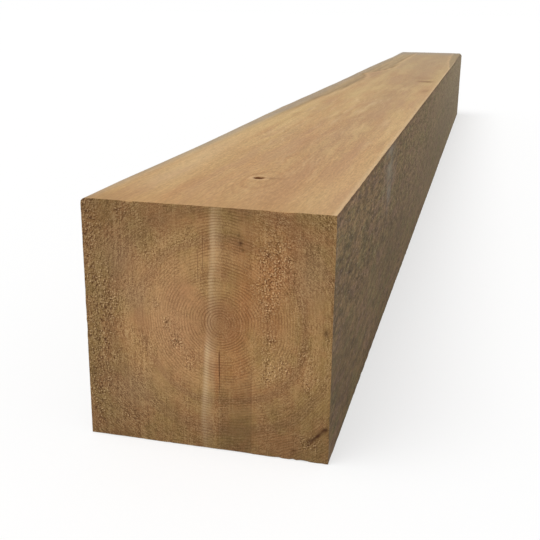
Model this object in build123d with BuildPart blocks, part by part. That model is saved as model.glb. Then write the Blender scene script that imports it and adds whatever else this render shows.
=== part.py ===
"""Rough-sawn cypress beam: one boxed-heart timber, sawn square out of a tapered, bending log.

Millimetres, +Z up. The beam lies along Y with the log's butt end at -Y.
The origin is the middle of its bottom face.
The log only just held the section, so the saw left its round surface as wane on the upper arrises:
a narrow strip all along the left one, and a strip on the right one that widens to the log's top end.
"""

import os
from math import hypot, pi, sin

from build123d import *

# Sawn size: a full 8 x 8 inch section, 8 feet long
BEAM_WIDTH = 203.2
BEAM_HEIGHT = 203.2
BEAM_LENGTH = 2438.4

# The log: its middle at each end, measured from the section's middle, and its thinning towards the top end
BUTT_SHIFT_X = 5.0
BUTT_SHIFT_Z = -3.6
TOP_SHIFT_X = -1.8
TOP_SHIFT_Z = -6.0
LOG_BEND = 3
LOG_STATIONS = 9
LOG_OVERHANG = 25.0

# Wane: how far the log falls short of the left arris at its butt and of the right arris at its top end
LEFT_WANE_AT_BUTT = 2.4
RIGHT_WANE_AT_TOP = 6.5
WANE_RIPPLE = 0.8
RIPPLES = 2.6

# Heart check: the drying crack in the butt end, just below the pith, measured from the section's middle
PITH_SHIFT_X = 13.2
PITH_SHIFT_Z = 9.1
CHECK_DROP = 21.5
CHECK_SHIFT_X = -1.7
CHECK_LENGTH = 43.0
CHECK_WIDTH = 0.8
CHECK_DEPTH = 70.0
CHECK_TIP_SHARE = 0.3

# Pocket of the loose pin knot in the top face
KNOT_FROM_BUTT = 118.5
KNOT_SHIFT_X = 11.5
KNOT_ALONG = 10.0
KNOT_ACROSS = 8.6
KNOT_DEPTH = 6.0
KNOT_FLOOR_SHARE = 0.6

# Places worked out from the sizes
butt_y = -BEAM_LENGTH / 2
middle_z = BEAM_HEIGHT / 2
log_length = BEAM_LENGTH + 2 * LOG_OVERHANG
left_reach = hypot(BEAM_WIDTH / 2 + BUTT_SHIFT_X, BEAM_HEIGHT / 2 - BUTT_SHIFT_Z)
right_reach = hypot(BEAM_WIDTH / 2 - TOP_SHIFT_X, BEAM_HEIGHT / 2 - TOP_SHIFT_Z)
butt_radius = left_reach - LEFT_WANE_AT_BUTT
top_radius = right_reach - RIGHT_WANE_AT_TOP
check_x = PITH_SHIFT_X + CHECK_SHIFT_X
check_z = middle_z + PITH_SHIFT_Z - CHECK_DROP - CHECK_LENGTH / 2


def cross_section(x, y, z):
    """Plane across the beam with its origin at x, y, z, facing the butt end."""
    return Plane(origin=(x, y, z), x_dir=(1, 0, 0), z_dir=(0, -1, 0))


# The log, as a loft of round stations that bend and thin towards the top end
with BuildPart() as log:
    for station in range(LOG_STATIONS):
        share = station / (LOG_STATIONS - 1)
        bent = share**LOG_BEND
        station_x = BUTT_SHIFT_X + bent * (TOP_SHIFT_X - BUTT_SHIFT_X)
        station_y = butt_y - LOG_OVERHANG + share * log_length
        station_z = middle_z + BUTT_SHIFT_Z + bent * (TOP_SHIFT_Z - BUTT_SHIFT_Z)
        ripple = WANE_RIPPLE * sin(2 * pi * RIPPLES * share)
        with BuildSketch(cross_section(station_x, station_y, station_z)):
            Circle(butt_radius + bent * (top_radius - butt_radius) - ripple)
    loft()

# The beam: the sawn section, kept only where the log has wood
with BuildPart() as beam:
    with BuildSketch(cross_section(0, butt_y, middle_z)):
        Rectangle(BEAM_WIDTH, BEAM_HEIGHT)
    extrude(amount=-BEAM_LENGTH)
    add(log.part, mode=Mode.INTERSECT)

    # Heart check, closing to a hairline inside the end
    for depth, share in ((0, 1), (CHECK_DEPTH, CHECK_TIP_SHARE)):
        tip = share * CHECK_LENGTH / 2
        side = share * CHECK_WIDTH / 2
        with BuildSketch(cross_section(check_x, butt_y + depth, check_z)):
            with BuildLine():
                ThreePointArc((0, tip), (side, 0), (0, -tip))
                ThreePointArc((0, -tip), (-side, 0), (0, tip))
            make_face()
    loft(mode=Mode.SUBTRACT)

    # Pocket where the heart of the pin knot has dropped out
    for depth, share in ((0, 1), (KNOT_DEPTH, KNOT_FLOOR_SHARE)):
        with BuildSketch(Plane((KNOT_SHIFT_X, butt_y + KNOT_FROM_BUTT, BEAM_HEIGHT - depth))):
            Ellipse(share * KNOT_ACROSS / 2, share * KNOT_ALONG / 2)
    loft(mode=Mode.SUBTRACT)

beam.part.label = "beam"
os.makedirs("parts", exist_ok=True)
export_step(beam.part, "parts/beam.step")
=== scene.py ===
"""Looks of the rough-sawn cypress beam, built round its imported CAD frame.

Shapes are worked out in millimetres in the row frame and turned into metres when a mesh is made.
"""
import math
from collections import namedtuple

import bpy
import numpy as np
from mathutils import Matrix, Vector
from mathutils.bvhtree import BVHTree


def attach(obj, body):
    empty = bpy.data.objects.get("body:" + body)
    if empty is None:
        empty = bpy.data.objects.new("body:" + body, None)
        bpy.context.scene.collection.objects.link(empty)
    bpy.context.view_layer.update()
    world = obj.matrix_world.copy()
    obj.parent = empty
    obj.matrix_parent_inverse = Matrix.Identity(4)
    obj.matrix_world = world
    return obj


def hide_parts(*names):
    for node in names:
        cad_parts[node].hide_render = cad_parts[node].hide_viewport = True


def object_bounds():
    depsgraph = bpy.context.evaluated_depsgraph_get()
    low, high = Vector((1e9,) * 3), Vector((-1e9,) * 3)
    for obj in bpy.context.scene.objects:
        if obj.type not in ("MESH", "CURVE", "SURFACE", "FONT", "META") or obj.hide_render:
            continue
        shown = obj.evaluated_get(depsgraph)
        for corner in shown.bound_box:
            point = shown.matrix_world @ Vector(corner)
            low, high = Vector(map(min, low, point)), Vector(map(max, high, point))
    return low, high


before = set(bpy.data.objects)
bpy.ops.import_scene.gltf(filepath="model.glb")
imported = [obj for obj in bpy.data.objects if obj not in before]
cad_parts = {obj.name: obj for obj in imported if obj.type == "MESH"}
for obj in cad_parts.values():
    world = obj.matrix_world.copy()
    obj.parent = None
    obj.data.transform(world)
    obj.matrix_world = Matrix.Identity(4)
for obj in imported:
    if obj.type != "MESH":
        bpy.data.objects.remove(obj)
CAD_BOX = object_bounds()

# The beam's box, in millimetres
MM = 0.001
LOW, HIGH = (np.array(corner) / MM for corner in CAD_BOX)
LEFT, BUTT, BOTTOM = LOW
RIGHT, TOP_END, TOP = HIGH
WIDTH, LENGTH, HEIGHT = HIGH - LOW
MIDDLE_Z = (BOTTOM + TOP) / 2

# Faces, by number: each with its axis, its plane and the sign of its outward normal
FACES = ((2, TOP, 1), (0, RIGHT, 1), (2, BOTTOM, -1), (0, LEFT, -1), (1, BUTT, -1), (1, TOP_END, 1))
TOP_FACE, BUTT_FACE, END_FACE = 0, 4, 5

# Growth: the pith's place in the butt end and how it wanders along the beam
PITH_X = 13.2
PITH_Z = MIDDLE_Z + 9.1
PITH_WANDER = 5.0
PITH_WAVE = 1900.0
RING_PITCH = 2.3
LOG_TAPER = 0.0035
FLECKS_ROUND = 26.0

# Heart check in the butt end
CHECK_X = PITH_X - 1.7
CHECK_HIGH = PITH_Z - 21.5
CHECK_LENGTH = 43.0
CHECK_WIDTH = 0.4
CHECK_GROOVE = 12.0

# Knots in the top face: place across and from the butt end, half sizes,
# then how far round them and how strongly the growth swells
Knot = namedtuple("Knot", "x along half_x half_y reach_x reach_y swell")
PIN_KNOT = Knot(11.5, 118.5, 4.3, 5.0, 30.0, 70.0, 11.0)
SOUND_KNOT = Knot(LEFT + 0.8 * WIDTH, 6.4 * WIDTH, 22.0, 40.0, 30.0, 150.0, 12.0)


def smooth(value, low, high):
    """0 at low, 1 at high, eased between them."""
    t = np.clip((value - low) / (high - low), 0, 1)
    return t * t * (3 - 2 * t)


def hill(value, middle, half):
    """1 at the middle, falling smoothly to 0 about two halves away."""
    return np.exp(-((value - middle) / half) ** 2)


def lattice(ix, iy, iz, seed):
    """A repeatable value from 0 to 1 at each whole point."""
    mask = 0xFFFFFFFF
    h = (ix * 374761393 + iy * 668265263 + iz * 1440662683 + seed * 1274126177) & mask
    h = ((h ^ (h >> 13)) * 1274126177) & mask
    h = ((h ^ (h >> 15)) * 1103515245) & mask
    return ((h ^ (h >> 16)) & 0xFFFFFF) / 0xFFFFFF


def noise(x, y, z, seed):
    """Smooth value noise from -1 to 1, with one cell to each unit."""
    x, y, z = (np.asarray(c, float) for c in np.broadcast_arrays(x, y, z))
    whole = [np.floor(c).astype(np.int64) for c in (x, y, z)]
    part = [c - w for c, w in zip((x, y, z), whole)]
    part = [p * p * (3 - 2 * p) for p in part]
    total = np.zeros(x.shape)
    for corner in range(8):
        step = [(corner >> axis) & 1 for axis in range(3)]
        weight = np.ones(x.shape)
        for p, s in zip(part, step):
            weight = weight * (p if s else 1 - p)
        total += weight * lattice(*(w + s for w, s in zip(whole, step)), seed)
    return 2 * total - 1


def fractal(x, y, z, seed, octaves=3):
    """Noise with finer and fainter noise on it."""
    total, share = 0.0, 1.0
    for octave in range(octaves):
        total = total + share * noise(x * 2**octave, y * 2**octave, z * 2**octave, seed + octave)
        share /= 2
    return total / 1.6


# Where the butt end is torn: middle across and down, half sizes, as shares of the section, and strength
TORN_PATCHES = (
    (0.02, 0.1, 0.06, 0.16, 0.95), (0.03, 0.34, 0.07, 0.1, 1.0), (0.03, 0.52, 0.06, 0.12, 1.0),
    (0.03, 0.72, 0.07, 0.12, 1.1), (0.03, 0.87, 0.05, 0.08, 0.8), (0.1, 0.36, 0.05, 0.08, 1.0),
    (0.1, 0.56, 0.06, 0.12, 0.7), (0.17, 0.04, 0.05, 0.04, 0.8), (0.24, 0.21, 0.05, 0.05, 0.7),
    (0.17, 0.9, 0.05, 0.04, 0.6), (0.295, 0.4, 0.025, 0.04, 1.0), (0.343, 0.475, 0.025, 0.035, 1.2),
    (0.383, 0.55, 0.03, 0.04, 1.2), (0.43, 0.63, 0.03, 0.05, 0.9), (0.76, 0.22, 0.06, 0.09, 0.95),
    (0.82, 0.17, 0.05, 0.07, 0.8), (0.75, 0.36, 0.045, 0.08, 0.7), (0.75, 0.54, 0.045, 0.1, 0.65),
    (0.76, 0.66, 0.04, 0.05, 0.7), (0.82, 0.61, 0.035, 0.045, 0.7), (0.8, 0.04, 0.05, 0.03, 0.6),
    (0.97, 0.04, 0.03, 0.04, 0.8), (0.89, 0.55, 0.035, 0.05, 0.7), (0.9, 0.68, 0.035, 0.05, 0.95),
    (0.93, 0.92, 0.06, 0.05, 0.85),
)
# Where it is cut smooth, in the same way
CALM_PATCHES = (
    (0.94, 0.36, 0.07, 0.08, 1.0), (0.4, 0.36, 0.07, 0.07, 1.0), (0.64, 0.86, 0.08, 0.14, 1.0),
    (0.22, 0.46, 0.06, 0.07, 0.9), (0.32, 0.71, 0.06, 0.07, 0.9), (0.17, 0.25, 0.05, 0.06, 0.8),
    (0.38, 0.05, 0.1, 0.06, 0.7), (0.96, 0.56, 0.03, 0.08, 0.9), (0.38, 0.84, 0.07, 0.07, 0.7),
    (0.97, 0.76, 0.03, 0.06, 0.8),
)


def shares(x, z):
    """Place on an end as shares of the section from its left and from its top."""
    return (x - LEFT) / WIDTH, (TOP - z) / HEIGHT


def spotted(u, v, spots):
    """The sum of soft spots, each with its middle across and down, half sizes and strength."""
    total = 0.0
    for middle_u, middle_v, half_u, half_v, strength in spots:
        total = total + strength * hill(u, middle_u, half_u) * hill(v, middle_v, half_v)
    return total


def in_patches(x, z, patches, seed):
    """How far inside the patches a place lies: about 1 in one's middle, ragged at its rim."""
    return 0.4 * fractal(x / 13, z / 13, 0, seed) + spotted(*shares(x, z), patches)


def torn(x, z):
    """How torn the butt end's grain is there, from 0 to 1."""
    return 0.08 + 0.92 * smooth(in_patches(x, z, TORN_PATCHES, 11), 0.1, 0.9)


# Edges of the grey strips on the top face: distance from the butt end, then from the arris, in section widths
STAIN_EDGE = (
    (0, 0.06), (0.6, 0.08), (1.2, 0.1), (1.9, 0.105), (2.4, 0.12), (3.6, 0.125), (4.1, 0.15), (4.6, 0.175),
    (5.2, 0.205), (6.1, 0.21), (6.5, 0.185), (6.9, 0.1), (7.1, 0.18), (7.4, 0.245), (7.9, 0.29), (9, 0.275),
    (10.2, 0.25), (12, 0.25),
)
RIGHT_STAIN_EDGE = ((0, -0.05), (7.6, -0.02), (8.6, 0.04), (9.6, 0.09), (11, 0.125), (12, 0.13))


def stain_depths(x, y):
    """How far inside the left and the right grey strip a place lies, in section widths."""
    along = (y - BUTT) / WIDTH
    wave = 0.012 * fractal(y / 70, x / 60, 0, 21)
    left = np.interp(along, *zip(*STAIN_EDGE)) + wave - (x - LEFT) / WIDTH
    right = np.interp(along, *zip(*RIGHT_STAIN_EDGE)) + wave - (RIGHT - x) / WIDTH
    return left, right


def stained(x, y):
    """How grey the top face is, from 0 to 1: in a strip on the left and a short one on the right."""
    left, right = stain_depths(x, y)
    full_depth = 0.02 + 0.07 * smooth((y - BUTT) / WIDTH, 4.0, 2.0)
    return np.maximum(smooth(left, -0.01, full_depth), 0.9 * smooth(right, -0.01, 0.02))


def knot_distance(x, y, knot):
    """Distance from a knot's middle, 1 at its edge."""
    return np.hypot((x - knot.x) / knot.half_x, (y - BUTT - knot.along) / knot.half_y)


def top_relief(x, y):
    """How deep the top face lies under its plane."""
    depth = 0.3 + 0.2 * noise(x / 90, y / 260, 0, 31) + 0.06 * noise(x / 8, y / 120, 0, 32)
    depth += stained(x, y) * (0.5 + 0.3 * noise(x / 14, y / 60, 0, 34))
    pin, sound = (knot_distance(x, y, knot) for knot in (PIN_KNOT, SOUND_KNOT))
    depth -= 0.3 * hill(pin, 1.6, 0.6)
    depth += 0.3 * smooth(sound, 1.1, 0.7) - 0.2 * hill(sound, 1.4, 0.5)
    return depth


# Saw marks of the sides: how strongly they curve, and the pitch of the arcs and of the torn ripples
SAW_ARC = 0.0016
SAW_PITCH = 29.0
RIPPLE_PITCH = 13.0


def side_relief(across, y, seed):
    """How deep a side lies under its plane: saw arcs, a rippled torn part and slow waves."""
    arc = y + SAW_ARC * (across - 60) ** 2 + 9 * noise(across / 70, y / 130, 0, seed)
    strength = 0.6 + 0.5 * noise(across / 60, y / 170, 0, seed + 1)
    depth = 0.45 + 0.15 * strength * np.sin(2 * np.pi * arc / SAW_PITCH)
    depth += 0.2 * noise(across / 110, y / 300, 0, seed + 2)
    ripple = hill(y, BUTT + 150, 110) * hill(across, MIDDLE_Z + 10, 55)
    depth += 0.35 * ripple * np.sin(2 * np.pi * (arc + 0.5 * across) / RIPPLE_PITCH)
    depth += 0.14 * fractal(across / 9, y / 16, 0, seed + 3, 2)
    return depth


def end_relief(x, z, seed, patches):
    """How deep an end lies under its plane: saw lines, and torn grain in the patches."""
    depth = 0.35 + 0.08 * noise(x / 4, z / 150, 0, seed) + 0.15 * noise(x / 60, z / 60, 0, seed + 1)
    depth += 0.07 * fractal(x / 2.4, z / 3.0, 0, seed + 2, 2)
    depth += patches * (0.2 + 0.35 * fractal(x / 2.2, z / 2.6, 0, seed + 3, 2))
    return depth


def butt_relief(x, z):
    """The butt end, with the step where the saw was set in again."""
    u, v = shares(x, z)
    step = smooth(0.685 + 0.004 * noise(z / 12, 0, 0, 45) - u, -0.004, 0.004) * smooth(v, 0.6, 0.72)
    return end_relief(x, z, 41, torn(x, z)) + 0.3 * step * smooth(u, 0.5, 0.6)


def far_torn(x, z):
    """How torn the top end's grain is there, from 0 to 1."""
    return smooth(fractal(x / 45, z / 45, 0, 55), 0.1, 0.7)


def far_relief(x, z):
    """The top end, torn here and there."""
    return end_relief(x, z, 51, far_torn(x, z))


# How far under a sawn plane its relief still counts, and the least that each face is drawn in
RELIEF_FADE = 2.2
LEAST_RELIEF = 0.05


def relieved(points):
    """The points moved in by the relief of each face that they lie on."""
    x, y, z = points.T
    depths = (
        top_relief(x, y),
        side_relief(z, y, 61),
        side_relief(x, y, 71),
        side_relief(z, y, 81),
        butt_relief(x, z),
        far_relief(x, z),
    )
    moved = points.copy()
    for (axis, plane, sign), depth in zip(FACES, depths):
        inside = sign * (plane - points[:, axis])
        near = np.clip(1 - inside / RELIEF_FADE, 0, 1)
        moved[:, axis] -= sign * near * np.maximum(depth, LEAST_RELIEF)
    return moved


def chipped(points):
    """The points moved in along every arris, by a fine ragged chamfer with some deeper chips."""
    moved = points.copy()
    pairs = [(side, (side + 1) % 4) for side in range(4)]
    pairs += [(side, end) for side in range(4) for end in (BUTT_FACE, END_FACE)]
    for seed, (one, other) in enumerate(pairs):
        (axis_a, plane_a, sign_a), (axis_b, plane_b, sign_b) = FACES[one], FACES[other]
        along = points[:, 3 - axis_a - axis_b]
        inside_a = sign_a * (plane_a - points[:, axis_a])
        inside_b = sign_b * (plane_b - points[:, axis_b])
        fine, coarse = (4.0, 31.0) if other >= BUTT_FACE else (9.0, 85.0)
        chip = noise(along / coarse, seed, 0, 92) + 0.5 * noise(along / fine, seed, 0, 93)
        chamfer = 0.8 + 0.25 * fractal(along / fine, seed, 0, 91) + 0.9 * smooth(chip, 0.55, 1.1)
        push = np.maximum(chamfer - inside_a - inside_b, 0) / 2
        moved[:, axis_a] -= sign_a * push
        moved[:, axis_b] -= sign_b * push
    return moved


# The skin's rings: from and to in millimetres from the butt end, their spacing, and places on each side
ZONES = (
    (0.0, 24.0, 1.6, (110, 100, 70, 80)),
    (27.0, 700.0, 4.0, (58, 56, 26, 32)),
    (709.0, LENGTH, 10.0, (38, 34, 16, 24)),
)
# How much closer together the places are towards the arrises
ARRIS_CROWD = 0.68
# Closer places at the knot: their spacing, and how far they reach in half sizes of the knot
KNOT_STEP = 1.3
KNOT_REACH = 1.7
# Grids of the ends: cells each way, the share of the section that they cover, from where and how steeply
# they are drawn in to the outline, and how clear of the check's own lines the others stay
BUTT_CELLS = 190
END_CELLS = 44
CAP_INSET = 0.986
DRAWN_FROM = 0.6
DRAWN_POWER = 8
CHECK_CLEAR = 1.1


def knot_places(half):
    """Places about a knot's middle, by its half size."""
    return np.arange(-KNOT_REACH * half, KNOT_REACH * half, KNOT_STEP)


def round_places(counts, even, knot=None):
    """Places round the section, one unit to a face, clockwise from the upper left corner at the butt end."""
    places = []
    for face, count in enumerate(counts):
        along = np.arange(count) / count
        if not even:
            along = along - ARRIS_CROWD * np.sin(2 * np.pi * along) / (2 * np.pi)
        if face == TOP_FACE and knot is not None:
            along = np.union1d(along, (knot.x + knot_places(knot.half_x) - LEFT) / WIDTH)
        places.append(face + along)
    return np.concatenate(places)


def section_points(places):
    """x and z of places round the sawn section."""
    face, t = np.floor(places).astype(int), places % 1
    left, right, bottom, top = (np.full(len(t), edge) for edge in (LEFT, RIGHT, BOTTOM, TOP))
    x = np.choose(face, (LEFT + t * WIDTH, right, RIGHT - t * WIDTH, left))
    z = np.choose(face, (top, TOP - t * HEIGHT, bottom, BOTTOM + t * HEIGHT))
    return x, z


def cross_section(x, y, z):
    """Points of one cross-section."""
    return np.stack([x, np.full(len(x), y), z], 1)


def cad_skin(node):
    """A search tree of a CAD node's mesh, in millimetres."""
    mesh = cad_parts[node].data
    corners = [vertex.co / MM for vertex in mesh.vertices]
    return BVHTree.FromPolygons(corners, [tuple(face.vertices) for face in mesh.polygons])


SKIN = cad_skin("beam")
# Rays onto it start this many times as far out as the section, and stay this far inside the ends
CAST_FROM = 1.5
END_CLEAR = 0.6


def on_skin(points):
    """The points moved across the beam onto the CAD surface, and how far each one moved."""
    found = points.copy()
    for index, (x, y, z) in enumerate(points):
        inside_y = min(max(y, BUTT + END_CLEAR), TOP_END - END_CLEAR)
        middle = Vector((0, inside_y, MIDDLE_Z))
        outward = Vector((x, inside_y, z)) - middle
        hit = SKIN.ray_cast(middle + CAST_FROM * outward, -outward)[0]
        if hit is not None:
            found[index, 0], found[index, 2] = hit.x, hit.z
    return found, np.linalg.norm(found - points, axis=1)


def zipped(ring_a, places_a, ring_b, places_b):
    """Triangles between two closed rings of vertices that start at the same corner."""
    triangles, i, j = [], 0, 0
    count_a, count_b = len(ring_a), len(ring_b)
    ends_a, ends_b = np.append(places_a[1:], 4.0), np.append(places_b[1:], 4.0)
    while i < count_a or j < count_b:
        if j == count_b or (i < count_a and ends_a[i] <= ends_b[j]):
            triangles.append((ring_a[i], ring_a[(i + 1) % count_a], ring_b[j % count_b]))
            i += 1
        else:
            triangles.append((ring_a[i % count_a], ring_b[(j + 1) % count_b], ring_b[j]))
            j += 1
    return triangles


class Skin:
    """The beam's surface while it is put together."""

    def __init__(self):
        self.points, self.faces, self.kinds, self.cuts = [], [], [], []
        self.count = 0

    def add_points(self, points, cuts):
        """Points with the wane cut off at each. Returns their numbers."""
        first = self.count
        self.points.append(points)
        self.cuts.append(cuts)
        self.count += len(points)
        return np.arange(first, self.count)

    def add_faces(self, faces, kinds):
        self.faces.extend(faces)
        self.kinds.extend(kinds)


def ring_places(start, stop, step, knot):
    """Places along the beam from the butt end, closer together at the knot."""
    along = np.linspace(start, stop, int(round((stop - start) / step)) + 1)
    if start < knot.along < stop:
        along = np.union1d(along, knot.along + knot_places(knot.half_y))
    return along


def add_sides(skin):
    """The four long faces, ring by ring. Returns the end rings with their places."""
    ends, last = [], None
    for number, (start, stop, step, counts) in enumerate(ZONES):
        places = round_places(counts, number == 0, PIN_KNOT if number == 1 else None)
        x, z = section_points(places)
        kinds = np.floor(places).astype(int)
        for along in ring_places(start, stop, step, PIN_KNOT):
            points, cuts = on_skin(cross_section(x, BUTT + along, z))
            ring = skin.add_points(points, cuts)
            if last is None:
                ends.append((ring, places))
            elif len(last[0]) == len(ring):
                nexts, lasts = np.roll(ring, -1), np.roll(last[0], -1)
                skin.add_faces(zip(last[0], lasts, nexts, ring), kinds)
            else:
                strips = zipped(*last, ring, places)
                skin.add_faces(strips, strip_kinds(strips, last, (ring, places)))
            last = (ring, places)
    ends.append(last)
    return ends


def strip_kinds(strips, one, other):
    """The face that each triangle of a zipped strip lies on, from its middle place."""
    place = dict([*zip(*one), *zip(*other)])
    kinds = []
    for triangle in strips:
        at = [place[vertex] for vertex in triangle]
        if max(at) - min(at) > 2:
            at = [a + 4 if a < 1 else a for a in at]
        kinds.append(int(sum(at) / 3) % 4)
    return kinds


def cap_lines(cells, low, high, check=None):
    """Grid lines across an end, with three close lines along the check."""
    middle, half = (low + high) / 2, CAP_INSET * (high - low) / 2
    lines = np.linspace(middle - half, middle + half, cells + 1)
    if check is not None:
        lines = lines[np.abs(lines - check) > CHECK_CLEAR]
        lines = np.sort(np.append(lines, check + np.array([-0.5, 0, 0.5]) * CHECK_WIDTH))
    return lines


def fit_cap(x, z, y):
    """Grid points of an end drawn in to the CAD outline near its rim."""
    reach = np.maximum(np.abs(x) / (WIDTH / 2), np.abs(z - MIDDLE_Z) / (HEIGHT / 2))
    rim = reach > DRAWN_FROM
    edge_x, edge_z = x / np.maximum(reach, 1e-9), (z - MIDDLE_Z) / np.maximum(reach, 1e-9)
    cut = np.zeros(len(x))
    _, cut[rim] = on_skin(cross_section(edge_x, y, MIDDLE_Z + edge_z)[rim])
    drawn = 1 - reach**DRAWN_POWER * cut / np.maximum(np.hypot(edge_x, edge_z), 1e-9)
    return x * drawn, MIDDLE_Z + (z - MIDDLE_Z) * drawn


def add_cap(skin, face, ring, ring_place, lines_x, lines_z):
    """One end as a grid, joined to the ring round it. Returns its vertices by column and row."""
    x, z = (grid.ravel() for grid in np.meshgrid(lines_x, lines_z, indexing="ij"))
    y = FACES[face][1]
    x, z = fit_cap(x, z, y)
    grid = skin.add_points(cross_section(x, y, z), np.zeros(len(x))).reshape(len(lines_x), len(lines_z))
    quads = np.stack([grid[:-1, :-1], grid[1:, :-1], grid[1:, 1:], grid[:-1, 1:]], -1).reshape(-1, 4)
    rim = np.concatenate([grid[:-1, -1], grid[-1, :0:-1], grid[:0:-1, 0], grid[0, :-1]])
    share_x = (lines_x - lines_x[0]) / (lines_x[-1] - lines_x[0])
    share_z = (lines_z - lines_z[0]) / (lines_z[-1] - lines_z[0])
    rim_place = np.concatenate([share_x[:-1], 2 - share_z[:0:-1], 3 - share_x[:0:-1], 3 + share_z[:-1]])
    band = np.array(zipped(ring, ring_place, rim, rim_place))
    for faces in (quads, band[:, ::-1]) if face == BUTT_FACE else (quads[:, ::-1], band):
        skin.add_faces(faces, [face] * len(faces))
    return grid


def open_check(points, grid, lines_x):
    """The heart check: the middle of its three grid lines sunk in, the outer two closing at its tips."""
    middle = int(np.argmin(np.abs(lines_x - CHECK_X)))
    for offset in (-1, 0, 1):
        line = grid[middle + offset]
        z = points[line, 2]
        opened = np.clip(1 - ((z - (CHECK_HIGH - CHECK_LENGTH / 2)) / (CHECK_LENGTH / 2)) ** 2, 0, 1)
        wobble = 0.25 * noise(z / 9, 0, 0, 101) * np.sqrt(opened)
        points[line, 0] = CHECK_X + wobble + offset * np.maximum(opened, 0.35) * CHECK_WIDTH / 2
        if offset == 0:
            points[line, 1] += CHECK_GROOVE * np.sqrt(opened)


def beam_skin():
    """The whole surface of the beam: points, faces, face numbers and the wane at each point."""
    skin = Skin()
    (first, first_places), (last, last_places) = add_sides(skin)
    lines_x = cap_lines(BUTT_CELLS, LEFT, RIGHT, CHECK_X)
    lines_z = cap_lines(BUTT_CELLS, BOTTOM, TOP)
    grid = add_cap(skin, BUTT_FACE, first, first_places, lines_x, lines_z)
    far_x, far_z = cap_lines(END_CELLS, LEFT, RIGHT), cap_lines(END_CELLS, BOTTOM, TOP)
    add_cap(skin, END_FACE, last, last_places, far_x, far_z)
    flat = np.concatenate(skin.points)
    points = chipped(relieved(flat))
    open_check(points, grid, lines_x)
    return flat, points, skin.faces, np.array(skin.kinds), np.concatenate(skin.cuts)


def srgb(red, green, blue):
    """A colour in display values from 0 to 255, as scene-linear red, green, blue and 1."""
    display = np.array([red, green, blue]) / 255
    linear = np.where(display <= 0.04045, display / 12.92, ((display + 0.055) / 1.055) ** 2.4)
    return (*linear.tolist(), 1.0)


class Nodes:
    """Short calls that add shader nodes to a material or a world and give back their outputs."""

    def __init__(self, owner):
        owner.use_nodes = True
        self.nodes, self.links = owner.node_tree.nodes, owner.node_tree.links
        self.nodes.clear()

    def add(self, kind, inputs=None, **settings):
        """A new node with its settings, and its inputs linked to outputs or set to values."""
        node = self.nodes.new("ShaderNode" + kind)
        for name, value in settings.items():
            setattr(node, name, value)
        for key, value in (inputs or {}).items():
            if isinstance(value, bpy.types.NodeSocket):
                self.links.new(value, node.inputs[key])
            else:
                node.inputs[key].default_value = value
        return node.outputs

    def math(self, operation, *values):
        return self.add("Math", dict(enumerate(values)), operation=operation)[0]

    def vector(self, operation, *values):
        return self.add("VectorMath", dict(enumerate(values)), operation=operation)[0]

    def minus(self, one, other):
        return self.math("SUBTRACT", one, other)

    def times(self, product, *others):
        for value in others:
            product = self.math("MULTIPLY", product, value)
        return product

    def line(self, value, gain, start):
        """The value times the gain, plus the start."""
        return self.math("MULTIPLY_ADD", value, gain, start)

    def squares(self, one, other):
        """The sum of two squares."""
        return self.math("ADD", self.times(one, one), self.times(other, other))

    def joined(self, *parts):
        """A vector from its parts."""
        return self.add("CombineXYZ", dict(enumerate(parts)))[0]

    def smooth(self, value, low, high, most=1.0):
        """0 at low, most at high, eased between them."""
        inputs = {"Value": value, "From Min": low, "From Max": high, "To Max": most}
        return self.add("MapRange", inputs, interpolation_type="SMOOTHSTEP")["Result"]

    def mix(self, share, one, other):
        """One colour with a share of the other. The node's own colour inputs are numbers 6 and 7."""
        return self.add("Mix", {0: share, 6: one, 7: other}, data_type="RGBA")[2]

    def coats(self, colour, *coats):
        """A colour with others laid over it in turn, each with its share and display values."""
        if isinstance(colour, tuple):
            colour = srgb(*colour)
        for share, tone in coats:
            colour = self.mix(share, colour, srgb(*tone))
        return colour

    def scale(self, colour, factor):
        """A colour made lighter or darker."""
        return self.add("VectorMath", {0: colour, "Scale": factor}, operation="SCALE")[0]

    def swing(self, *parts):
        """1 with noises added to it about their middle, each given with its gain."""
        total = 1.0
        for value, gain in parts:
            total = self.math("ADD", self.times(self.minus(value, 0.5), gain), total)
        return total


# Waves in the growth layers: size along each axis, and how far the layers swing
LAYER_WAVES = (((45, 420, 45), 9.0), ((12, 150, 12), 1.6), ((3, 60, 3), 0.35))
# Shine of dry wood, and how softly an upright line on an end fades out at its foot and head
DRY_SHINE = 0.25
LINE_FADE = 6.0


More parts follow.
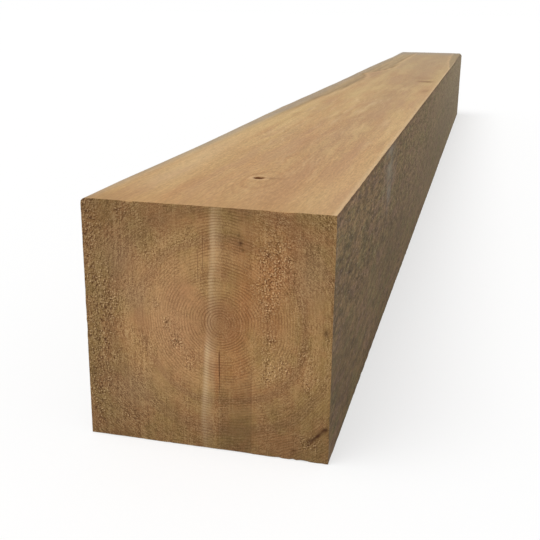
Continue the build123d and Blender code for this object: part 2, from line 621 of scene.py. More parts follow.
class Wood(Nodes):
    """Nodes of one of the beam's materials, with the place and the tree's growth there."""

    def __init__(self, name):
        self.material = bpy.data.materials.new(name)
        super().__init__(self.material)
        self.point = self.vector("MULTIPLY", self.add("TexCoord")["Object"], (1 / MM, 1 / MM, 1 / MM))
        self.grow()

    def grow(self):
        """Distance from the pith, growth layer, latewood from 0 to 1, and the place round the rings."""
        self.x, y, self.z = self.add("SeparateXYZ", {0: self.point})
        self.along = self.minus(y, BUTT)
        sway = self.math("SINE", self.times(self.along, 2 * math.pi / PITH_WAVE))
        from_x = self.minus(self.x, self.line(sway, PITH_WANDER, PITH_X))
        from_z = self.minus(self.z, self.line(sway, -PITH_WANDER, PITH_Z))
        self.radius = self.math("SQRT", self.squares(from_x, from_z))
        layer = self.line(self.along, LOG_TAPER, self.radius)
        for size, reach in LAYER_WAVES:
            layer = self.line(self.minus(self.noise(size, 1), 0.5), reach, layer)
        upper = self.smooth(self.z, MIDDLE_Z, TOP)
        for knot in (PIN_KNOT, SOUND_KNOT):
            apart_x = self.math("DIVIDE", self.minus(self.x, knot.x), knot.reach_x)
            apart_y = self.math("DIVIDE", self.minus(self.along, knot.along), knot.reach_y)
            near = self.math("EXPONENT", self.times(self.squares(apart_x, apart_y), -1.0))
            layer = self.line(self.times(near, upper), -knot.swell, layer)
        rings = self.math("DIVIDE", layer, RING_PITCH)
        turns = [self.times(self.math("DIVIDE", way, self.radius), FLECKS_ROUND) for way in (from_x, from_z)]
        phase = self.math("FRACT", rings)
        self.late = self.minus(self.smooth(phase, 0.35, 0.85), self.smooth(phase, 0.88, 1.0))
        self.layer, self.round = layer, self.joined(rings, *turns)

    def noise(self, size, detail=2.0, roughness=0.5, at=None):
        """Noise from 0 to 1 with features about as large as size, in millimetres along each axis."""
        scaled = self.vector("DIVIDE", at or self.point, size)
        inputs = {"Vector": scaled, "Scale": 1.0, "Detail": detail, "Roughness": roughness}
        return self.add("TexNoise", inputs)[0]

    def bands(self, value, size, detail=2.0):
        """Noise from 0 to 1 along one length, in bands about as wide as size."""
        inputs = {"W": self.math("DIVIDE", value, size), "Scale": 1.0, "Detail": detail}
        return self.add("TexNoise", inputs, noise_dimensions="1D")[0]

    def swayed(self, size, reach):
        """The place with its x moved to and fro, by up to half the reach, in waves as large as size."""
        step = self.times(self.minus(self.noise(size), 0.5), reach)
        return self.vector("ADD", self.point, self.joined(step))

    def upright(self, place, half, low, high):
        """1 on an upright line at its place across an end, between two heights, and 0 off it."""
        near = self.smooth(self.math("ABSOLUTE", self.minus(self.x, place)), half, 0.3 * half)
        foot = self.smooth(self.z, low, low + LINE_FADE)
        return self.times(near, self.times(foot, self.smooth(self.z, high, high - LINE_FADE)))

    def held(self, name):
        """A named value that the mesh holds at each point."""
        return self.add("Attribute", attribute_name=name)["Fac"]

    def surface(self, colour, roughness, height, bump):
        """Ends the material: one Principled surface with bump, whose height is in millimetres."""
        normal = self.add("Bump", {"Strength": bump, "Distance": MM, "Height": height})[0]
        inputs = {"Base Color": colour, "Roughness": roughness, "Specular IOR Level": DRY_SHINE}
        shader = self.add("BsdfPrincipled", {**inputs, "Normal": normal})[0]
        self.add("OutputMaterial", {"Surface": shader})
        return self.material


# Colours of the ends, in display values
END_TAN, END_STRAW, END_LATE = (176, 129, 82), (171, 136, 82), (112, 74, 42)
END_HEART, END_WARM, END_PALE, END_COOL = (144, 99, 62), (184, 119, 70), (198, 149, 106), (166, 134, 100)
SPECK_PALE, SPECK_DARK, TORN_PIT_AND_SHADOW, TORN_TIP_HIGHLIGHT = (212, 175, 124), (106, 73, 42), (92, 46, 20), (246, 206, 152)
STRIPE_PALE, RESIN, SCORE_DARK, CHECK_SHADE = (214, 182, 140), (70, 38, 14), (96, 54, 30), (96, 50, 22)

# Wide rings of paler and of darker growth: distance from the pith, half width, share and colour
PALE_GROWTH, DARK_GROWTH = (196, 154, 100), (150, 110, 72)
WIDE_RINGS = (
    (53.0, 10.0, 0.6, PALE_GROWTH), (68.0, 5.0, 0.55, DARK_GROWTH), (78.0, 6.0, 0.4, PALE_GROWTH),
    (94.0, 7.0, 0.4, DARK_GROWTH), (30.0, 4.0, 0.25, PALE_GROWTH), (38.0, 4.0, 0.25, DARK_GROWTH),
)
# Upright lines that the saw left in the butt end: share across, from and to down the section,
# half width and strength
SAW_SCORES = ((0.473, 0.16, 0.3, 0.6, 0.35), (0.493, 0.08, 0.29, 0.6, 0.45), (0.686, 0.6, 1.0, 0.6, 0.25))
# The painted shade along the check: half width, and where it fades out along the beam
CHECK_LINE = 0.75
CHECK_FADE = (60, 40)
# Torn fibres of the ends: their size, and how far to the upper left of their painted shadows they lie
FIBRE_SIZE = (1.25, 1.25, 1.35)
FIBRE_SHADOW = (-0.9, 0.0, 1.0)


def end_hues(n):
    """Slow changes of colour over the ends: hue, wide rings, the heart and mottled growth."""
    hue = n.noise((26, 26, 32), 3, 0.55)
    rings = []
    for radius, half, share, tone in WIDE_RINGS:
        apart = n.math("ABSOLUTE", n.minus(n.layer, radius))
        rings.append((n.smooth(apart, half, 0.3 * half, share), tone))
    colour = n.coats(
        END_TAN,
        (n.smooth(hue, 0.38, 0.62), END_STRAW),
        *rings,
        (n.smooth(n.radius, 30, 8, 0.75), END_HEART),
        (n.times(n.held("warm"), 0.6), END_WARM),
        (n.times(n.held("pale"), 0.75), END_PALE),
        (n.times(n.held("cool"), 0.5), END_COOL),
    )
    return n.scale(colour, n.swing((n.noise((2.2, 3.5, 3.5), at=n.round), 0.45)))


def end_specks(n, colour, speck, saw):
    """Cut fibres, dark and pale, and fine rings over an end's colour."""
    clean = n.held("clean")
    rough_here = n.line(n.smooth(n.noise((20, 20, 26)), 0.4, 0.6), 0.35, 0.55)
    for smoother in (clean, n.held("calm")):
        rough_here = n.times(rough_here, n.line(smoother, -0.55, 1.0))
    fleck = n.noise((0.55, 1, 1), 2, 0.65, n.round)
    grain = n.swing((speck, 0.7), (fleck, 0.42), (saw, 0.22))
    broken = n.smooth(n.noise((9, 9, 9), 3, 0.6), 0.32, 0.62)
    ring_share = n.times(n.line(clean, 0.62, 0.12), broken)
    return n.coats(
        colour,
        (n.times(rough_here, n.smooth(grain, 0.99, 1.12, 0.92)), SPECK_PALE),
        (n.times(rough_here, n.smooth(grain, 1.01, 0.88, 0.92)), SPECK_DARK),
        (n.times(n.late, ring_share), END_LATE),
    )


def end_tatters(n, colour, torn_here, fibres):
    """Torn fibres in clumps where the end is torn: painted highlights on their tips, painted shadows beside
    them and dark gouged pits.
    """
    tattered = n.times(torn_here, n.smooth(n.noise((5.5, 5.5, 6.5), 2, 0.6), 0.32, 0.52))
    # Painted shadows below and right of the fibres, joined with dark gouged pits along the rings; painted
    # highlights on the tips.
    shadows = n.noise(FIBRE_SIZE, 1, at=n.vector("ADD", n.point, FIBRE_SHADOW))
    gouge = n.noise((0.6, 0.8, 0.8), 2, 0.6, n.round)
    pit_and_shadow = n.math("MAXIMUM", n.smooth(shadows, 0.58, 0.68, 0.9), n.smooth(gouge, 0.54, 0.65, 0.85))
    tip = n.smooth(fibres, 0.58, 0.68, 0.92)
    return n.coats(colour, (n.times(tattered, pit_and_shadow), TORN_PIT_AND_SHADOW), (n.times(tattered, tip), TORN_TIP_HIGHLIGHT))


def end_stains(n, colour):
    """The butt end's pale stripe, darker rim, resin, saw scores and painted shade in the heart check."""
    lit = n.times(n.held("stripe"), n.line(n.late, -0.65, 1.0))
    colour = n.scale(n.coats(colour, (lit, STRIPE_PALE)), n.minus(1.0, n.held("shade")))
    colour = n.coats(colour, (n.held("stain"), RESIN))
    near_butt = n.smooth(n.along, 5, 3)
    for across, high, low, half, strength in SAW_SCORES:
        score = n.upright(LEFT + across * WIDTH, half, TOP - low * HEIGHT, TOP - high * HEIGHT)
        colour = n.coats(colour, (n.times(score, near_butt, strength), SCORE_DARK))
    # Painted shade in the heart check, darker towards its upper end.
    check_low = CHECK_HIGH - CHECK_LENGTH
    check_shade_line = n.upright(CHECK_X, CHECK_LINE, check_low, CHECK_HIGH)
    check_shade_upwards = n.smooth(n.z, check_low, CHECK_HIGH, 0.9)
    return n.coats(colour, (n.times(check_shade_line, n.smooth(n.along, *CHECK_FADE), check_shade_upwards), CHECK_SHADE))


def end_grain():
    """Material of the sawn ends: fine rings round the pith, torn specks with painted highlights and shadows,
    saw lines, stains and painted shade in the check.
    """
    n = Wood("cypress_end_grain")
    torn_here = n.held("torn")
    speck = n.noise((0.95, 0.95, 1), 2, 0.7)
    saw = n.noise((1.3, 1.3, 40), 2, 0.6)
    fibres = n.noise(FIBRE_SIZE, 1)
    colour = end_specks(n, end_hues(n), speck, saw)
    colour = end_stains(n, end_tatters(n, colour, torn_here, fibres))
    height = n.line(speck, 0.5, n.times(saw, 0.3))
    height = n.line(n.times(fibres, torn_here), 0.5, height)
    height = n.line(n.late, 0.12, height)
    return n.surface(colour, n.line(speck, 0.15, 0.78), height, 0.6)


# Colours of the top face, in display values
FACE_TAN, FACE_HONEY, FACE_HEART = (190, 148, 104), (201, 170, 118), (174, 138, 104)
BAND_PINK, BAND_HONEY, FACE_LATE = (182, 147, 108), (206, 175, 127), (150, 104, 66)
LAYER_DARK, LAYER_PALE, SWIRL_TAN = (174, 130, 90), (214, 180, 128), (193, 147, 101)
WISP_PALE, WISP_DARK, CLOUD_PINK = (220, 189, 144), (168, 128, 90), (178, 138, 106)
CLOUD_HONEY, FLAME_PALE, FLAME_DARK = (210, 178, 126), (216, 188, 146), (162, 124, 90)
NEAR_TAN, BUTT_TAN, CORNER_BROWN, FAR_GREY = (186, 142, 96), (182, 140, 90), (166, 130, 88), (173, 152, 122)
STRIP_BROWN, STRIP_TAN, STRIP_NEAR = (160, 136, 103), (180, 153, 115), (182, 162, 136)
STRIP_FAR, STRIP_RIM, STRIP_RIGHT_SHADE = (189, 168, 132), (165, 152, 135), (148, 130, 100)
STRIP_EDGE_SHADE, RIDGE_HIGHLIGHT_PALE, ARRIS_PALE = (142, 112, 74), (216, 182, 138), (216, 188, 148)
TIP_GREY, KNOT_BROWN, WANE_TOP, MARGIN_PALE = (162, 152, 140), (108, 62, 27), (150, 129, 101), (214, 184, 141)


def face_hues(n, band):
    """Slow changes of colour over the top face: hue, bands, the heart and growth layers."""
    swirl = n.held("swirl")
    hue = n.noise((38, 300, 38), 3, 0.6)
    layers = n.bands(n.layer, 4.5)
    patchy = n.smooth(n.noise((60, 200, 60), 1), 0.35, 0.65, 0.6)
    shown = n.math("MAXIMUM", patchy, n.times(swirl, 0.9))
    return n.coats(
        FACE_TAN,
        (n.smooth(hue, 0.32, 0.68), FACE_HONEY),
        (n.smooth(band, 0.5, 0.7, 0.5), BAND_PINK),
        (n.smooth(band, 0.5, 0.3, 0.5), BAND_HONEY),
        (n.times(n.held("heart"), 0.62), FACE_HEART),
        (n.times(shown, n.smooth(layers, 0.5, 0.68, 0.42)), LAYER_DARK),
        (n.times(shown, n.smooth(layers, 0.5, 0.32, 0.38)), LAYER_PALE),
        (n.times(swirl, 0.25), SWIRL_TAN),
        (n.times(n.late, n.line(swirl, 0.22, 0.07)), FACE_LATE),
    )


def face_figure(n, colour, swayed, wisp):
    """Wisps, clouds and curly flames, then tints: warm to the butt end and grey to the top end."""
    curl = n.held("curl")
    cloud = n.noise((24, 260, 24), 2, 0.55, swayed)
    flame = n.noise((9, 110, 9), 2, 0.55, swayed)
    lively = n.line(n.smooth(n.along, 1400, 500), 0.6, 0.4)
    left_corner = n.times(n.smooth(n.along, 45, 5), n.smooth(n.x, LEFT + 50, LEFT + 10, 0.5))
    return n.coats(
        colour,
        (n.times(lively, n.smooth(wisp, 0.54, 0.76, 0.36)), WISP_PALE),
        (n.times(lively, n.smooth(wisp, 0.44, 0.28, 0.25)), WISP_DARK),
        (n.smooth(cloud, 0.52, 0.68, 0.45), CLOUD_PINK),
        (n.smooth(cloud, 0.48, 0.32, 0.45), CLOUD_HONEY),
        (n.times(curl, n.smooth(flame, 0.52, 0.7, 0.36)), FLAME_PALE),
        (n.times(curl, n.smooth(flame, 0.46, 0.32, 0.35)), FLAME_DARK),
        (n.smooth(n.along, 420, 60, 0.4), NEAR_TAN),
        (n.smooth(n.along, 60, 0, 0.35), BUTT_TAN),
        (left_corner, CORNER_BROWN),
        (n.smooth(n.along, 300, LENGTH, 0.65), FAR_GREY),
        (n.held("margin"), MARGIN_PALE),
    )


def strip_colour(n):
    """Colour of the grey strips along the arrises of the top face."""
    colour = n.coats(
        STRIP_BROWN,
        (n.smooth(n.noise((8, 420, 8), 2, 0.55), 0.36, 0.64), STRIP_TAN),
        (n.smooth(n.along, 1000, 300, 0.7), STRIP_NEAR),
        (n.smooth(n.along, 1500, 2200, 0.4), STRIP_FAR),
        (n.smooth(n.x, LEFT + 27, LEFT + 9, 0.65), STRIP_RIM),
    )
    return n.scale(colour, n.swing((n.noise((5, 45, 5), 2, 0.6), 0.5)))


def face_grain():
    """Material of the top face: soft lengthwise grain, honey and pinkish bands, knots and grey strips, with
    painted shade and highlights at the strips' edges.
    """
    n = Wood("cypress_face_grain")
    grey = n.held("grey")
    band = n.noise((20, 520, 20))
    fibre = n.noise((1.4, 60, 1.4), 3, 0.6)
    grit = n.noise((1.5, 8, 1.5), 3, 0.7)
    near_grit = n.line(n.smooth(n.along, 900, 100), 0.8, 0.1)
    swayed = n.swayed((30, 60, 30), 24)
    wisp = n.noise((5, 130, 5), at=swayed)
    colour = n.scale(face_hues(n, band), n.swing((fibre, 0.18), (grit, near_grit)))
    colour = n.mix(n.times(grey, 0.85), face_figure(n, colour, swayed, wisp), strip_colour(n))
    tip = n.line(n.minus(band, 0.5), 260, n.along)
    colour = n.coats(
        colour,
        # Painted shade: a dark line along the left grey strip's edge.
        (n.held("edge"), STRIP_EDGE_SHADE),
        (n.smooth(n.x, RIGHT - 6, RIGHT - 2, 0.4), ARRIS_PALE),
        # Painted highlights beside the grey strips, with a pale ring round the pin knot.
        (n.held("ridge_highlight_and_knot_ring"), RIDGE_HIGHLIGHT_PALE),
        (n.smooth(tip, LENGTH - 240, LENGTH - 20, 0.6), TIP_GREY),
        # Painted shade on the right grey strip where the arris rolls off, over the strip's own grey.
        (n.times(grey, n.smooth(n.x, 0, 30, 0.55)), STRIP_RIGHT_SHADE),
    )
    colour = n.scale(colour, n.swing((fibre, 0.3), (grit, 0.4)))
    colour = n.coats(colour, (n.held("knot"), KNOT_BROWN), (n.times(n.held("wane"), 0.8), WANE_TOP))
    height = n.line(fibre, 0.3, n.times(wisp, 0.2))
    return n.surface(colour, n.line(fibre, 0.2, 0.66), height, 0.25)


# Colours of the sides and the bottom, in display values
SIDE_DARK, SIDE_TAN, SIDE_FAR = (121, 97, 64), (138, 112, 77), (168, 150, 120)
SIDE_OLIVE, SIDE_PINK, SIDE_LATE = (130, 118, 76), (138, 108, 88), (96, 76, 54)
CHIP_HIGHLIGHT, CHIP_SHADE, RIPPLE_DARK, SAW_ARC_SHADE = (176, 156, 128), (68, 52, 34), (76, 58, 38), (90, 72, 52)
STREAK_GREY, ARRIS_BROWN, WANE_SIDE = (166, 160, 148), (116, 80, 48), (132, 112, 86)


def side_hues_with_painted_light(n, broad):
    """Slow changes of colour over the sides: paler along the beam, with tints; then painted light, lighter
    towards the top and lifted towards the bottom, and painted shade low down near the butt end.
    """
    tint = n.noise((12, 55, 11), 3, 0.6)
    colour = n.coats(
        SIDE_DARK,
        (n.smooth(broad, 0.3, 0.7), SIDE_TAN),
        (n.smooth(n.along, 0, LENGTH, 0.9), SIDE_FAR),
        (n.smooth(tint, 0.5, 0.66, 0.5), SIDE_OLIVE),
        (n.smooth(tint, 0.5, 0.34, 0.5), SIDE_PINK),
    )
    # Painted light: lighter towards the top and lifted towards the bottom; painted shade on the lower part
    # near the butt end.
    upper = n.smooth(n.z, TOP - 0.6 * HEIGHT, TOP - 0.1 * HEIGHT)
    painted_light_low = n.smooth(n.z, TOP - 0.7 * HEIGHT, BOTTOM)
    painted_shade_low_front = n.times(n.smooth(n.along, 140, 10), n.minus(1.0, upper))
    tone = n.line(painted_shade_low_front, -0.1, n.line(upper, 0.14, 0.97))
    return n.scale(colour, n.line(painted_light_low, 0.14, tone))


def weathered_side():
    """Material of the sides and the bottom: darker, greyer and speckled, with painted shade along the saw
    arcs, painted highlights and shade on torn fibres, and painted light by height.
    """
    n = Wood("cypress_weathered_side")
    broad = n.noise((70, 260, 50), 3)
    speck = n.noise((1.6, 6, 1.6), 3, 0.75)
    fibre = n.noise((2.6, 90, 2.6), 3, 0.6)
    torn_up = n.noise((5, 20, 4.5), 3, 0.6)
    blotch = n.noise((10, 45, 10))
    chip = n.noise((2.4, 9, 2.4), 2, 0.6)
    ripple = n.noise((6, 110, 6), 2, 0.6)
    calm = n.smooth(n.along, 200, 1500, 0.55)
    fading = n.smooth(n.z, TOP - 0.42 * HEIGHT, TOP - 0.6 * HEIGHT, 0.4)
    bold = n.times(n.minus(1.0, calm), n.minus(1.05, fading))
    swings = ((speck, n.times(bold, 2.2)), (fibre, 0.35), (torn_up, n.times(bold, 2.4)), (blotch, 0.7))
    arc = n.line(n.times(n.z, n.z), SAW_ARC, n.along)
    scored = n.bands(n.line(broad, 30, arc), 6, 1)
    colour = n.coats(
        n.scale(side_hues_with_painted_light(n, broad), n.swing(*swings)),
        # Painted highlights on the raised torn fibres and painted shade in the hollows between them.
        (n.times(bold, n.smooth(chip, 0.58, 0.74, 0.7)), CHIP_HIGHLIGHT),
        (n.times(bold, n.smooth(chip, 0.43, 0.28, 0.7)), CHIP_SHADE),
        (n.smooth(ripple, 0.42, 0.32, 0.22), RIPPLE_DARK),
        (n.times(n.late, 0.1), SIDE_LATE),
        # Painted shade along the saw arcs.
        (n.smooth(scored, 0.5, 0.75, 0.2), SAW_ARC_SHADE),
        (n.times(n.held("streak"), 0.4), STREAK_GREY),
        (n.smooth(n.z, TOP - 6, TOP - 1, 0.5), ARRIS_BROWN),
        (n.times(n.held("wane"), 0.8), WANE_SIDE),
    )
    height = n.line(speck, 1.3, n.times(fibre, 0.3))
    height = n.line(scored, 0.6, n.line(chip, 1.0, height))
    return n.surface(colour, n.line(speck, 0.2, 0.74), height, 0.7)


# Pale stripe down the butt end: shares down the section, then its middle across and its strength
STRIPE = (
    (0.0, 0.545, 0.5), (0.08, 0.542, 0.8), (0.2, 0.538, 0.8), (0.33, 0.535, 0.55), (0.42, 0.53, 0.25),
    (0.5, 0.523, 0.35), (0.58, 0.517, 0.95), (0.76, 0.508, 1.0), (0.86, 0.502, 0.65), (1.0, 0.5, 0.3),
)
# Spots of warmer wood on the butt end: middle across and down, half sizes and strength
WARM_SPOTS = (
    (0.77, 0.24, 0.12, 0.2, 1.0), (0.615, 0.63, 0.07, 0.15, 0.8), (0.655, 0.32, 0.04, 0.16, 0.6),
    (0.06, 0.1, 0.08, 0.1, 0.5), (0.545, 0.7, 0.012, 0.07, 0.9),
)
# Spots of cooler wood, in the same way
COOL_SPOTS = (
    (0.91, 0.24, 0.07, 0.13, 1.0), (0.15, 0.22, 0.08, 0.1, 1.0), (0.21, 0.38, 0.06, 0.07, 1.0),
    (0.19, 0.78, 0.1, 0.1, 1.0),
)
# Dark dots, in the same way
DOTS = (
    (0.86, 0.956, 0.01, 0.005, 0.8), (0.642, 0.132, 0.007, 0.008, 1.0), (0.649, 0.158, 0.006, 0.006, 0.7),
    (0.634, 0.102, 0.005, 0.008, 0.6), (0.6, 0.02, 0.006, 0.006, 0.45), (0.517, 0.162, 0.005, 0.006, 0.5),
    (0.973, 0.455, 0.009, 0.015, 0.7), (0.82, 0.31, 0.005, 0.006, 0.5), (0.8, 0.577, 0.005, 0.006, 0.5),
    (0.735, 0.263, 0.006, 0.006, 0.6), (0.752, 0.165, 0.007, 0.006, 0.6), (0.383, 0.55, 0.007, 0.007, 0.7),
    (0.343, 0.475, 0.007, 0.006, 0.7), (0.14, 0.985, 0.05, 0.015, 0.3),
)


def end_tones(u, v):
    """How much darker than its middle the butt end is: most at the bottom and the left."""
    shade = 0.28 * smooth(u, 0.24, 0.04) + 0.31 * smooth(v, 0.6, 1.0) + 0.18 * smooth(v, 0.22, 0.0)
    shade += 0.13 * smooth(u, 0.55, 0.95) + 0.16 * hill(u, 0.25, 0.13) * hill(v, 0.1, 0.17)
    beside = smooth(u, 0.545, 0.565) * smooth(u, 0.692, 0.682)
    shade += beside * (0.14 * smooth(v, 0.62, 0.72) + 0.1 * smooth(v, 0.34, 0.26))
    shade += 0.04 * hill(u, 0.25, 0.08) * hill(v, 0.75, 0.08)
    shade -= smooth(u, 0.22, 0.05) * (0.21 * smooth(v, 0.7, 0.9) + 0.07 * smooth(v, 0.2, 0.06))
    shade -= 0.05 * smooth(u, 0.8, 0.95) * smooth(v, 0.2, 0.06)
    shade -= 0.05 * hill(u, 0.58, 0.06) * smooth(v, 0.2, 0.05)
    shade -= 0.04 * smooth(u, 0.68, 0.75) * smooth(v, 0.75, 0.95)
    return np.clip(shade, 0, 0.5)


def end_stain(u, v):
    """Dark marks on the butt end: a slanting resin streak at the lower right, and dots."""
    middle = np.interp(u, (0.89, 0.925, 0.948, 0.963, 0.978, 1.0), (0.917, 0.908, 0.888, 0.87, 0.854, 0.844))
    stain = hill(v, middle, 0.012) * smooth(u, 0.895, 0.935) * smooth(u, 1.0, 0.985)
    stain *= 0.9 + 0.5 * fractal(u * 45, v * 60, 0, 113)
    for dot_u, dot_v, half_u, half_v, strength in DOTS:
        stain = np.maximum(stain, strength * hill(u, dot_u, half_u) * hill(v, dot_v, half_v))
    return np.clip(stain, 0, 1)


def end_marks(flat):
    """Named values of the butt end at each point."""
    x, y, z = flat.T
    u, v = shares(x, z)
    here = smooth(y, BUTT + 2.5, BUTT + 0.5)
    down, middle, strength = zip(*STRIPE)
    apart = u - np.interp(v, down, middle) - 0.004 * noise(v * 6, 0, 0, 111)
    stripe = 0.55 * hill(apart, -0.008, 0.01)
    stripe += 0.42 * smooth(apart, -0.028, -0.012) * smooth(apart, 0.04, 0.01)
    stripe *= np.interp(v, down, strength) * (0.85 + 0.35 * noise(u * 50, v * 14, 0, 112))
    radius = np.hypot(x - PITH_X, z - PITH_Z)
    band = smooth(u, 0.44, 0.5) * smooth(u, 0.72, 0.66) * (1 - 0.5 * smooth(v, 0.7, 0.85))
    corner = 0.45 * smooth(u, 0.66, 0.74) * smooth(v, 0.62, 0.74)
    clean = np.maximum(np.maximum(smooth(radius, 50, 20), 0.8 * band), corner)
    clean = np.maximum(clean, 0.55 * smooth(radius, 72, 56)) * (1 - 0.7 * torn(x, z))
    return {
        "stripe": here * np.clip(stripe, 0, 1),
        "stain": here * end_stain(u, v),
        "shade": here * end_tones(u, v),
        "warm": here * np.clip(spotted(u, v, WARM_SPOTS), 0, 1),
        "cool": here * np.clip(spotted(u, v, COOL_SPOTS), 0, 1),
        "pale": here * hill(u, 0.36, 0.14) * hill(v, 0.46, 0.26),
        "calm": here * smooth(in_patches(x, z, CALM_PATCHES, 114), 0.2, 0.9),
        "clean": np.where(y < BUTT + 5, clean, smooth(radius, 60, 30)),
    }


def top_marks(flat):
    """Named values of the top face at each point."""
    x, y, z = flat.T
    u, along = (x - LEFT) / WIDTH, (y - BUTT) / WIDTH
    on_top = smooth(z, TOP - 12, TOP - 6)
    pin, sound = (knot_distance(x, y, knot) for knot in (PIN_KNOT, SOUND_KNOT))
    tail = hill(x, PIN_KNOT.x + 11, 8) * hill(y, BUTT + PIN_KNOT.along + 2, 4)
    knot = np.maximum(0.92 * smooth(pin, 1.3, 0.95), 0.35 * tail)
    middle = np.interp(u, (0.69, 0.75, 0.81, 0.91, 0.95), (6.26, 6.01, 5.96, 5.94, 6.02))
    crescent = hill(along, middle, 0.085) * smooth(u, 0.72, 0.86) * smooth(u, 0.95, 0.9)
    knot = np.maximum(knot, 0.65 * crescent)
    knot = np.maximum(knot, 0.14 * smooth(sound, 1.6, 0.2))
    knot = np.maximum(knot, 0.3 * hill(u, 0.93, 0.03) * hill(along, 4.9, 0.16))
    left, right = stain_depths(x, y)
    # Painted shade just inside the left grey strip's edge; painted highlights on the flat top just outside
    # both strips' edges, and a pale ring round the pin knot.
    edge = (0.5 + 0.3 * hill(along, 7.6, 0.8)) * hill(left, 0.008, 0.016) * smooth(along, 0.8, 4.5)
    ridge_highlight_and_knot_ring = 0.45 * hill(pin, 1.75, 0.35) + 0.6 * hill(right, -0.008, 0.012) * smooth(along, 7.0, 9.0)
    ridge_highlight_and_knot_ring += 0.45 * hill(left, -0.028, 0.018) * smooth(along, 3.0, 5.0)
    curl = smooth(along, 2.0, 2.8) * smooth(along, 6.2, 4.8) * hill(u, 0.6, 0.17)
    swirl = hill(x, PIN_KNOT.x, 60) * hill(y, BUTT + PIN_KNOT.along, 130)
    heart = hill(u, 0.7 + 0.03 * noise(along, 0, 0, 131), 0.13)
    margin = 0.15 * smooth(u, 0.74, 0.95) * smooth(along, 7.0, 3.0)
    margin += 0.35 * hill(u, 0.15, 0.07) * smooth(along, 2.4, 1.0) * smooth(along, 0.1, 0.5)
    margin *= 0.9 + 0.6 * noise(u * 9, along * 1.5, 0, 132)
    values = {
        "grey": stained(x, y), "edge": edge, "knot": knot, "ridge_highlight_and_knot_ring": ridge_highlight_and_knot_ring,
        "curl": curl, "swirl": swirl, "heart": heart, "margin": margin,
    }
    return {name: on_top * value for name, value in values.items()}


def marks(flat, cuts):
    """Named values at each point that the materials read."""
    x, y, z = flat.T
    values = {**top_marks(flat), **end_marks(flat)}
    streak_y = BUTT + 1.7 * WIDTH
    low_end = TOP - 0.31 * HEIGHT + 12 * noise(y / 9, 0, 0, 121)
    streak = hill(y, streak_y, 46) * smooth(x, RIGHT - 5, RIGHT - 2) * smooth(z, low_end - 14, low_end + 16)
    values["streak"] = streak * (0.7 + 0.6 * noise(y / 16, z / 9, 0, 122))
    values["wane"] = smooth(cuts, 0.3, 1.2) * smooth(knot_distance(x, y, PIN_KNOT), 1.4, 2.0)
    values["torn"] = np.where(y > BUTT + LENGTH / 2, far_torn(x, z), torn(x, z))
    return values


# Which of the three materials each face has, and the angle above which an edge stays sharp
MATERIAL_OF_FACE = np.array([0, 1, 1, 1, 2, 2], np.int32)
SHARP_EDGE = math.radians(50)


def make_beam():
    """The visible beam, standing for the CAD one."""
    flat, points, faces, kinds, cuts = beam_skin()
    mesh = bpy.data.meshes.new("sawn_beam")
    mesh.from_pydata((points * MM).tolist(), [], [tuple(map(int, face)) for face in faces])
    for material in (face_grain(), weathered_side(), end_grain()):
        mesh.materials.append(material)
    mesh.polygons.foreach_set("material_index", MATERIAL_OF_FACE[kinds])
    mesh.polygons.foreach_set("use_smooth", np.ones(len(kinds), bool))
    for name, values in marks(flat, cuts).items():
        mesh.attributes.new(name, "FLOAT", "POINT").data.foreach_set("value", values.astype(np.float32))
    mesh.update()
    mesh.validate()
    mesh.set_sharp_from_angle(angle=SHARP_EDGE)
    beam = bpy.data.objects.new("sawn_beam", mesh)
    bpy.context.scene.collection.objects.link(beam)
    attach(beam, "root")
    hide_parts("beam")
    return beam


# Studio: the floor's half size in metres, its paleness and how far it glows where it is seen,
# then the surround's strength and the overhead light's strength, spread and direction
FLOOR_REACH = 40.0
FLOOR_PALE, WHITE = (0.8, 0.8, 0.8, 1), (1, 1, 1, 1)
FLOOR_GLOW = 0.6
SURROUND = 0.42
OVERHEAD = 2.0
OVERHEAD_SPREAD = math.radians(50)
OVERHEAD_WAY = (0.22, 0.3, -0.93)


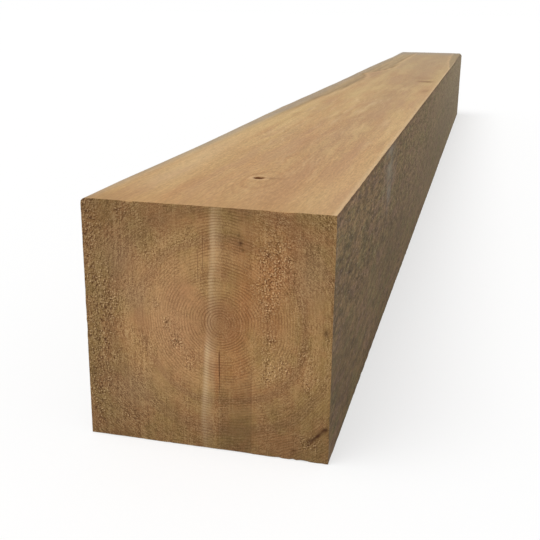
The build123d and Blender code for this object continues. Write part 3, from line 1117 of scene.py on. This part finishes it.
def make_floor():
    """A wide pale floor that keeps the beam's shadow and looks white to the camera."""
    material = bpy.data.materials.new("studio_floor")
    n = Nodes(material)
    path = n.add("LightPath")
    seen = n.math("MAXIMUM", path["Is Camera Ray"], path["Is Glossy Ray"])
    seen = n.math("MAXIMUM", seen, path["Is Transmission Ray"])
    matt = n.add("BsdfDiffuse", {"Color": n.mix(seen, FLOOR_PALE, WHITE)})[0]
    glow = n.add("Emission")[0]
    mixed = n.add("MixShader", {0: n.times(seen, FLOOR_GLOW), 1: matt, 2: glow})[0]
    n.add("OutputMaterial", {"Surface": mixed})
    mesh = bpy.data.meshes.new("floor")
    corners = [(FLOOR_REACH * x, FLOOR_REACH * y, 0) for x, y in ((-1, -1), (1, -1), (1, 1), (-1, 1))]
    mesh.from_pydata(corners, [], [(0, 1, 2, 3)])
    mesh.materials.append(material)
    floor = bpy.data.objects.new("floor", mesh)
    bpy.context.scene.collection.objects.link(floor)


def make_light():
    """Soft light from above, a little from the front and the left, and an even pale surround."""
    world = bpy.data.worlds.new("studio")
    bpy.context.scene.world = world
    n = Nodes(world)
    path = n.add("LightPath")
    seen = n.math("MAXIMUM", path["Is Camera Ray"], path["Is Transmission Ray"])
    light = n.add("Background", {"Color": WHITE, "Strength": SURROUND})[0]
    white = n.add("Background", {"Color": WHITE})[0]
    n.add("OutputWorld", {"Surface": n.add("MixShader", {0: seen, 1: light, 2: white})[0]})
    lamp = bpy.data.lights.new("overhead", "SUN")
    lamp.energy = OVERHEAD
    lamp.angle = OVERHEAD_SPREAD
    key = bpy.data.objects.new("overhead", lamp)
    key.rotation_euler = Vector(OVERHEAD_WAY).to_track_quat("-Z", "Y").to_euler()
    bpy.context.scene.collection.objects.link(key)


# Camera: place in metres, right and forward directions found from the photograph's corners and edges,
# lens and sensor width in millimetres, and the nearest and farthest that it sees, in metres
CAMERA_PLACE = (0.19914, -1.80823, 0.34631)
CAMERA_RIGHT = (0.96908, 0.24642, 0.01277)
CAMERA_FORWARD = (-0.23166, 0.92641, -0.29681)
CAMERA_LENS = 56.524
SENSOR = 36.0
CAMERA_NEAR, CAMERA_FAR = 0.01, 200.0


def make_camera():
    """The camera at the photograph's viewpoint."""
    data = bpy.data.cameras.new("camera")
    data.lens = CAMERA_LENS
    data.sensor_width = SENSOR
    data.clip_start = CAMERA_NEAR
    data.clip_end = CAMERA_FAR
    right, forward = Vector(CAMERA_RIGHT).normalized(), Vector(CAMERA_FORWARD).normalized()
    up = right.cross(forward)
    turn = Matrix((right, up, -forward)).transposed().to_4x4()
    camera = bpy.data.objects.new("camera", data)
    camera.matrix_world = Matrix.Translation(CAMERA_PLACE) @ turn
    bpy.context.scene.collection.objects.link(camera)
    bpy.context.scene.camera = camera


make_beam()
make_floor()
make_light()
make_camera()
bpy.context.scene.view_settings.view_transform = "Standard"
